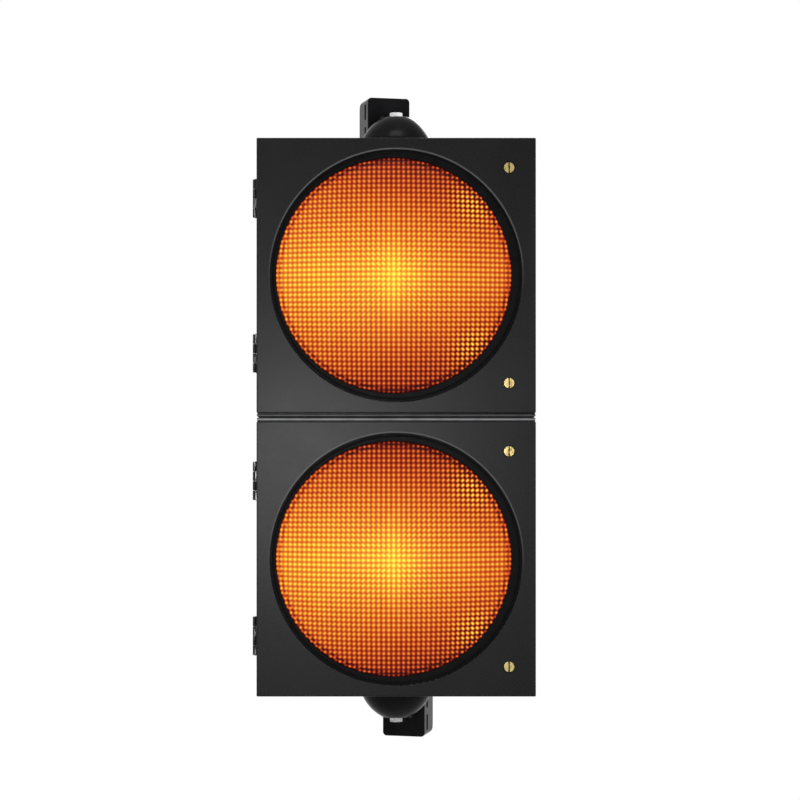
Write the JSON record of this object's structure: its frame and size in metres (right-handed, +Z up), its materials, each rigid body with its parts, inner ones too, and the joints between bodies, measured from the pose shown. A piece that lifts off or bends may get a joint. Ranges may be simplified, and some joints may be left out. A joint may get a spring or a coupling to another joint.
{
  "type": "traffic signal head",
  "caption": "Amber signal head with round 300 mm lenses in hinged doors on square cases, hung between swivelling pole brackets.",
  "frame": {"origin": "on the hub axis, in the plane where the two sections meet; the middle of the head's bounding box to within 4 mm", "axes": "front faces -Y, +X is the viewer's right, +Z is up along the hub axis"},
  "size_m": [0.3556, 0.1857, 0.8324],
  "materials": {
    "case_paint": "fine-grained black powder coat",
    "bracket_paint": "smooth black paint, semi-gloss",
    "hinge_metal": "blackened steel, worn at the knuckles",
    "zinc": "zinc-plated steel",
    "brass": "bare brass, slightly dulled",
    "rubber_black": "moulded EPDM",
    "lens_amber": "amber polycarbonate with a square prism pattern",
    "lens_clear": "clear polycarbonate with ring prisms",
    "lamp_plastic": "black moulded polycarbonate",
    "nylon_black": "black polyamide",
    "terminal_plastic": "beige polyamide",
    "led_board_metal": "aluminium-backed board, white solder resist",
    "driver_board_green": "fibreglass board, green solder resist",
    "led_resin": "amber emitter resin"
  },
  "bodies": {
    "upper_bracket": {"upper_bracket": "bracket_paint"},
    "head": {"upper_case": "case_paint", "lower_case": "case_paint", "section_nipple": "zinc", "section_ring_nuts": "zinc", "section_gasket": "rubber_black", "case_hinge_leaves": "hinge_metal", "case_leaf_screws": "hinge_metal", "hinge_pins": "zinc", "upper_hub_bolt": "zinc", "lower_hub_bolt": "zinc", "hub_washers": "zinc", "hub_nuts": "zinc", "hub_spreaders": "zinc", "hub_gaskets": "rubber_black", "terminal_block": "terminal_plastic", "terminal_screws": "zinc", "earth_screw": "brass", "cable_gland_body": "nylon_black", "cable_gland_seal": "rubber_black", "cable_gland_nut": "nylon_black", "cable_gland_locknut": "nylon_black"},
    "upper_door": {"upper_door": "case_paint", "upper_door_seal": "rubber_black", "upper_door_hinge_leaves": "hinge_metal", "upper_door_leaf_screws": "hinge_metal", "upper_lens": "lens_amber", "upper_lens_gasket": "rubber_black", "upper_inner_lens": "lens_clear", "upper_lamp_can": "lamp_plastic", "upper_lamp_screws": "zinc", "upper_led_board": "led_board_metal", "upper_leds": "led_resin", "upper_driver_board": "driver_board_green", "upper_driver_cover": "lamp_plastic", "upper_lead_gland": "nylon_black", "upper_lamp_clips": "zinc", "upper_clip_screws": "zinc"},
    "lower_door": {"lower_door": "case_paint", "lower_door_seal": "rubber_black", "lower_door_hinge_leaves": "hinge_metal", "lower_door_leaf_screws": "hinge_metal", "lower_lens": "lens_amber", "lower_lens_gasket": "rubber_black", "lower_inner_lens": "lens_clear", "lower_lamp_can": "lamp_plastic", "lower_lamp_screws": "zinc", "lower_led_board": "led_board_metal", "lower_leds": "led_resin", "lower_driver_board": "driver_board_green", "lower_driver_cover": "lamp_plastic", "lower_lead_gland": "nylon_black", "lower_lamp_clips": "zinc", "lower_clip_screws": "zinc"},
    "upper_latch_inner": {"upper_latch_inner": "brass"},
    "upper_latch_outer": {"upper_latch_outer": "brass"},
    "lower_latch_inner": {"lower_latch_inner": "brass"},
    "lower_latch_outer": {"lower_latch_outer": "brass"},
    "lower_bracket": {"lower_bracket": "bracket_paint"}
  },
  "joints": [
    {"name": "head_turn", "type": "hinge", "parent": "upper_bracket", "child": "head", "pos_m": [0, 0, 0.352], "axis": [0, 0, 1], "range_deg": [-76, 104]},
    {"name": "lower_bracket_turn", "type": "hinge", "parent": "head", "child": "lower_bracket", "pos_m": [0, 0, -0.352], "axis": [0, 0, 1], "range_deg": [-76, 104]},
    {"name": "upper_door_swing", "type": "hinge", "parent": "head", "child": "upper_door", "pos_m": [-0.1778, -0.05525, 0.17775], "axis": [0, 0, -1], "range_deg": [0, 150]},
    {"name": "lower_door_swing", "type": "hinge", "parent": "head", "child": "lower_door", "pos_m": [-0.1778, -0.05525, -0.17775], "axis": [0, 0, -1], "range_deg": [0, 150]},
    {"name": "upper_latch_inner_turn", "type": "hinge", "parent": "upper_door", "child": "upper_latch_inner", "pos_m": [0.1415, -0.066, 0.04275], "axis": [0, 1, 0], "range_deg": [0, 90]},
    {"name": "upper_latch_outer_turn", "type": "hinge", "parent": "upper_door", "child": "upper_latch_outer", "pos_m": [0.1415, -0.066, 0.31275], "axis": [0, 1, 0], "range_deg": [0, 90]},
    {"name": "lower_latch_inner_turn", "type": "hinge", "parent": "lower_door", "child": "lower_latch_inner", "pos_m": [0.1415, -0.066, -0.04275], "axis": [0, 1, 0], "range_deg": [0, 90]},
    {"name": "lower_latch_outer_turn", "type": "hinge", "parent": "lower_door", "child": "lower_latch_outer", "pos_m": [0.1415, -0.066, -0.31275], "axis": [0, 1, 0], "range_deg": [0, 90]}
  ]
}
